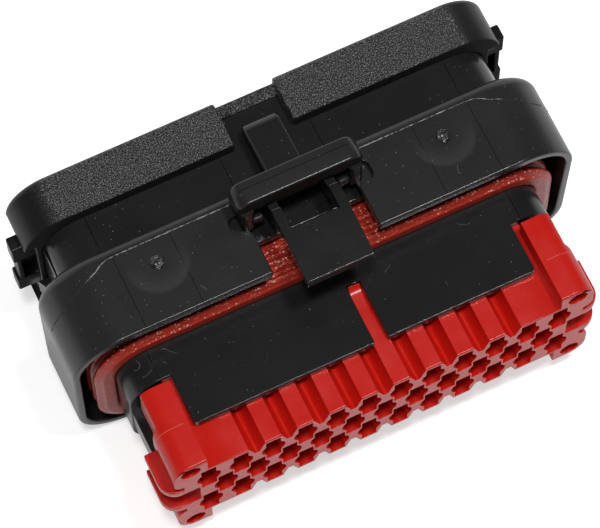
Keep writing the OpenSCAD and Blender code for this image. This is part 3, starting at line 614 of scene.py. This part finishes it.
def wedge_radius(middle, along):
    if abs(middle.x) > BLOCK_X:
        if math.hypot(abs(middle.x) - HOLE_X, abs(middle.z) - HOLE_Z) < HOLE_REACH:
            return HOLE_EDGE
        at_front = middle.y < FRONT_Y and abs(along.x) > PARALLEL and middle.z > HOLE_Z
        return FRONT_EDGE if at_front else PILLAR_EDGE
    if abs(middle.z) < BLOCK_Z:
        return OPENING_EDGE if middle.y < FRONT_Y else 0.0
    if abs(middle.z) > RAMP_FOOT:
        return OPENING_EDGE
    return RIB_EDGE if abs(along.y) < PARALLEL else HOLE_EDGE


wedge = moulded("red_wedge_lock", "wedge_lock", "wedge", wedge_radius)
dress(wedge, wedge_face, red_edge_wear_and_highlight)

# Wire seal: thick silicone mat with one hole for each wire, pressed into its pocket behind the contacts.
# It shows only through the wire entries of the cap, as a round lip that grips the wire in each of them.
# The mat's silicone carries the same painted glints
mat_skin = silicone("brick_red_silicone_mat", "#8f1e0f", "#a82c1a")
MAT_EDGE = 0.12
PITCH, LONG_ROW = 4.0, 12
MAT_REAR, WIRE_HOLE, LIP_OUT, LIP_R = 36.1, 1.9, 0.16, 0.24


def mat_radius(middle, along):
    return MAT_EDGE


mat = moulded("silicone_wire_mat", "wire_seal", "housing", mat_radius)
dress(mat, mat_skin, mat_skin)

lip_sizes = {
    "Ring Radius": (WIRE_HOLE / 2 + LIP_OUT) * MM, "Lip Radius": LIP_R * MM, "Around": 24, "Section": 8}
tree, given, result = node_group("wire_lips", lip_sizes)
hoop = add(tree, "GeometryNodeCurvePrimitiveCircle", {
    "Resolution": given["Around"], "Radius": given["Ring Radius"]})
section = add(tree, "GeometryNodeCurvePrimitiveCircle", {
    "Resolution": given["Section"], "Radius": given["Lip Radius"]})
lip = add(tree, "GeometryNodeCurveToMesh", {"Curve": hoop, "Profile Curve": section})
lip = add(tree, "GeometryNodeTransform", {"Geometry": lip, "Rotation": (math.radians(90), 0, 0)})
lips = add(tree, "GeometryNodeInstanceOnPoints", {"Points": given["Base"], "Instance": lip})
lips = add(tree, "GeometryNodeRealizeInstances", {"Geometry": lips})
lips = add(tree, "GeometryNodeSetMaterial", {"Geometry": lips, "Material": mat_skin})
tree.links.new(lips.outputs["Geometry"], result)
wires = []
for row in (-1, 0, 1):
    count = LONG_ROW - 1 if row == 0 else LONG_ROW
    wires += [placed((i - (count - 1) / 2) * PITCH, MAT_REAR, row * PITCH) for i in range(count)]
lips = grown("wire_grip_lips", tree, lip_sizes, wires)
lips.data.shade_smooth()
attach(lips, "housing")

# Rear cap: black polyester skirt and plate with one entry for each wire, snapped on with two hoops.
# Its flats are spark-eroded in the mould and grainy, with the grain's peaks painted grey as highlight; its
# round ends are smooth.
GRIT, GRIT_DEPTH, GRIT_LOW, GRIT_HIGH = 0.16, 0.11, 0.525, 0.635
GRITTY_TO, PLAIN_FROM = 25.5, 28.5
RIM_ROUGHNESS = 0.8


# Spark-textured black polyester: a coarse grit on the flats, whose peaks are painted grey as the highlight
# they catch.
def spark_polyester(name, valley, peak, gloss):
    material = bpy.data.materials.new(name)
    material.use_nodes = True
    tree = material.node_tree
    shader = tree.nodes["Principled BSDF"]
    place = add(tree, "ShaderNodeTexCoord").outputs["Object"]
    spot = add(tree, "ShaderNodeSeparateXYZ", {"Vector": place})
    reach = add(tree, "ShaderNodeMath", {0: spot.outputs["X"]}, operation="ABSOLUTE")
    flat = add(tree, "ShaderNodeMapRange", {"Value": reach, 1: PLAIN_FROM * MM, 2: GRITTY_TO * MM})
    grit = add(tree, "ShaderNodeTexNoise", {
        "Vector": place, "Scale": 1 / (GRIT * MM), "Detail": 2.0, "Roughness": 0.7})
    height = add(tree, "ShaderNodeMath", {0: grit, 1: flat}, operation="MULTIPLY")
    # Painted highlight: the grit's peaks are paler
    painted_peak_highlight = add(tree, "ShaderNodeMapRange", {"Value": height, 1: GRIT_LOW, 2: GRIT_HIGH})
    # The narrow front of the rim is dull and gets no painted highlight, so it stays dark
    normal = add(tree, "ShaderNodeNewGeometry").outputs["Normal"]
    facing = add(tree, "ShaderNodeSeparateXYZ", {"Vector": normal})
    bright = add(tree, "ShaderNodeMapRange", {"Value": facing.outputs["Y"], 1: -0.9, 2: -0.6})
    painted_peak_highlight = add(tree, "ShaderNodeMath", {0: painted_peak_highlight, 1: bright}, operation="MULTIPLY")
    sheen = add(tree, "ShaderNodeMapRange", {"Value": bright, 3: RIM_ROUGHNESS, 4: gloss})
    tree.links.new(sheen.outputs["Result"], shader.inputs["Roughness"])
    paint = add(tree, "ShaderNodeMix", {0: painted_peak_highlight, 6: srgb(valley), 7: srgb(peak)}, data_type="RGBA")
    tree.links.new(paint.outputs[2], shader.inputs["Base Color"])
    relief = add(tree, "ShaderNodeBump", {"Height": height, "Distance": GRIT_DEPTH * MM, "Strength": 1.0})
    tree.links.new(relief.outputs["Normal"], shader.inputs["Normal"])
    shader.inputs["IOR"].default_value = POLYESTER_IOR
    shader.inputs["Specular IOR Level"].default_value = 0.3
    return material


cap_face = spark_polyester("spark_textured_black_polyester", "#0c0c0c", "#7c7c7c", 0.32)
SKIRT_EDGE, HOOP_EDGE, ENTRY_EDGE = 0.22, 0.2, 0.15
HOOP_X, HOOP_Z, ENTRY_X, ENTRY_Z = 28.2, 8, 24, 6


def cap_radius(middle, along):
    if abs(middle.x) > HOOP_X and abs(middle.z) < HOOP_Z:
        return HOOP_EDGE
    if abs(middle.x) < ENTRY_X and abs(middle.z) < ENTRY_Z:
        return ENTRY_EDGE
    return SKIRT_EDGE


cap = moulded("spark_textured_cap", "rear_cap", "housing", cap_radius)
dress(cap, cap_face, edge_wear_and_highlight)

# Studio: a plain white floor, two compact soft boxes over the plug, a pale backdrop behind it and a dim room.
# The camera looks down on the plug from its mating side, as in the photograph.
FLOOR_HALF, FLOOR_Z = 1.5, -0.0001
FLOOR_LIFT, MIRRORED_LIFT = 0.55, 0.12
HORIZON, OVERHEAD, BACKDROP, FILL = 0.45, 0.03, 0.9, 0.22
BOX_SIDE, BOX_POWER = 0.15, 6.1


# Matte white floor: it takes the soft shadow, and a little glow keeps it white to camera and mirror rays.
def matte_white(name):
    material = bpy.data.materials.new(name)
    material.use_nodes = True
    tree = material.node_tree
    shader = tree.nodes["Principled BSDF"]
    shader.inputs["Base Color"].default_value = (0.8, 0.8, 0.8, 1)
    shader.inputs["Roughness"].default_value = 0.9
    shader.inputs["Specular IOR Level"].default_value = 0.1
    ray = add(tree, "ShaderNodeLightPath")
    mirrored = add(tree, "ShaderNodeMath", {
        0: ray.outputs["Is Glossy Ray"], 1: ray.outputs["Is Transmission Ray"]}, operation="MAXIMUM")
    mirrored = add(tree, "ShaderNodeMath", {0: mirrored, 1: MIRRORED_LIFT}, operation="MULTIPLY")
    seen = add(tree, "ShaderNodeMath", {
        0: ray.outputs["Is Camera Ray"], 1: FLOOR_LIFT}, operation="MULTIPLY")
    lift = add(tree, "ShaderNodeMath", {0: mirrored, 1: seen}, operation="MAXIMUM")
    shader.inputs["Emission Color"].default_value = (1, 1, 1, 1)
    tree.links.new(lift.outputs["Value"], shader.inputs["Emission Strength"])
    return material


floor_mesh = bpy.data.meshes.new("studio_floor")
corners = [(-1, -1), (1, -1), (1, 1), (-1, 1)]
floor_mesh.from_pydata(
    [(x * FLOOR_HALF, y * FLOOR_HALF, FLOOR_Z) for x, y in corners], [], [(0, 1, 2, 3)])
floor_mesh.materials.append(matte_white("white_studio_floor"))
floor = bpy.data.objects.new("studio_floor", floor_mesh)
bpy.context.scene.collection.objects.link(floor)

world = bpy.data.worlds.new("dim_studio")
bpy.context.scene.world = world
world.use_nodes = True
sky = world.node_tree
sky.nodes.clear()
ray = add(sky, "ShaderNodeLightPath")
heading = add(sky, "ShaderNodeTexCoord").outputs["Generated"]
heading = add(sky, "ShaderNodeSeparateXYZ", {"Vector": heading})
ceiling = add(sky, "ShaderNodeMapRange", {
    "Value": heading.outputs["Z"], 1: 0.0, 2: 0.3, 3: HORIZON, 4: OVERHEAD})
wall = add(sky, "ShaderNodeMapRange", {"Value": heading.outputs["Z"], 1: 0.35, 2: 0.85, 3: BACKDROP, 4: 0.0})
behind = add(sky, "ShaderNodeMapRange", {"Value": heading.outputs["Y"], 1: 0.35, 2: 0.6})
backdrop = add(sky, "ShaderNodeMath", {0: wall, 1: behind}, operation="MULTIPLY")
room = add(sky, "ShaderNodeMath", {0: ceiling, 1: backdrop}, operation="MAXIMUM")
mirrored = add(sky, "ShaderNodeMath", {
    0: ray.outputs["Is Glossy Ray"], 1: ray.outputs["Is Transmission Ray"]}, operation="MAXIMUM")
level = add(sky, "ShaderNodeMix", {0: mirrored, 2: FILL, 3: room}, data_type="FLOAT")
level = add(sky, "ShaderNodeMix", {0: ray.outputs["Is Camera Ray"], 2: level, 3: 1.0}, data_type="FLOAT")
glow = add(sky, "ShaderNodeBackground", {"Color": (1, 1, 1, 1), "Strength": level})
add(sky, "ShaderNodeOutputWorld", {"Surface": glow})

for name, place in (("left_soft_box", (-0.13, -0.22, 1.27)), ("right_soft_box", (0.26, -0.155, 1.26))):
    lamp = bpy.data.lights.new(name, "AREA")
    lamp.shape = "RECTANGLE"
    lamp.size = lamp.size_y = BOX_SIDE
    lamp.energy = BOX_POWER
    soft_box = bpy.data.objects.new(name, lamp)
    soft_box.location = place
    aim = Vector((0, 0, ROWS_Z)) - soft_box.location
    soft_box.rotation_euler = aim.to_track_quat("-Z", "Y").to_euler()
    bpy.context.scene.collection.objects.link(soft_box)

camera_data = bpy.data.cameras.new("photo_camera")
camera_data.sensor_fit = "HORIZONTAL"
camera_data.sensor_width = 36.0
camera_data.lens = 206.675
camera_data.clip_start = 0.01
camera = bpy.data.objects.new("photo_camera", camera_data)
across = Vector((0.9030011, -0.4295639, -0.0079888))
down = Vector((-0.4009641, -0.8359099, -0.3748098))
ahead = Vector((0.1543269, 0.3416568, -0.9270673))
turned = Matrix((across, -down, -ahead)).transposed().to_4x4()
camera.matrix_world = Matrix.Translation((-0.062785, -0.135147, 0.383917)) @ turned
bpy.context.scene.collection.objects.link(camera)
bpy.context.scene.camera = camera
bpy.context.scene.view_settings.view_transform = "Standard"
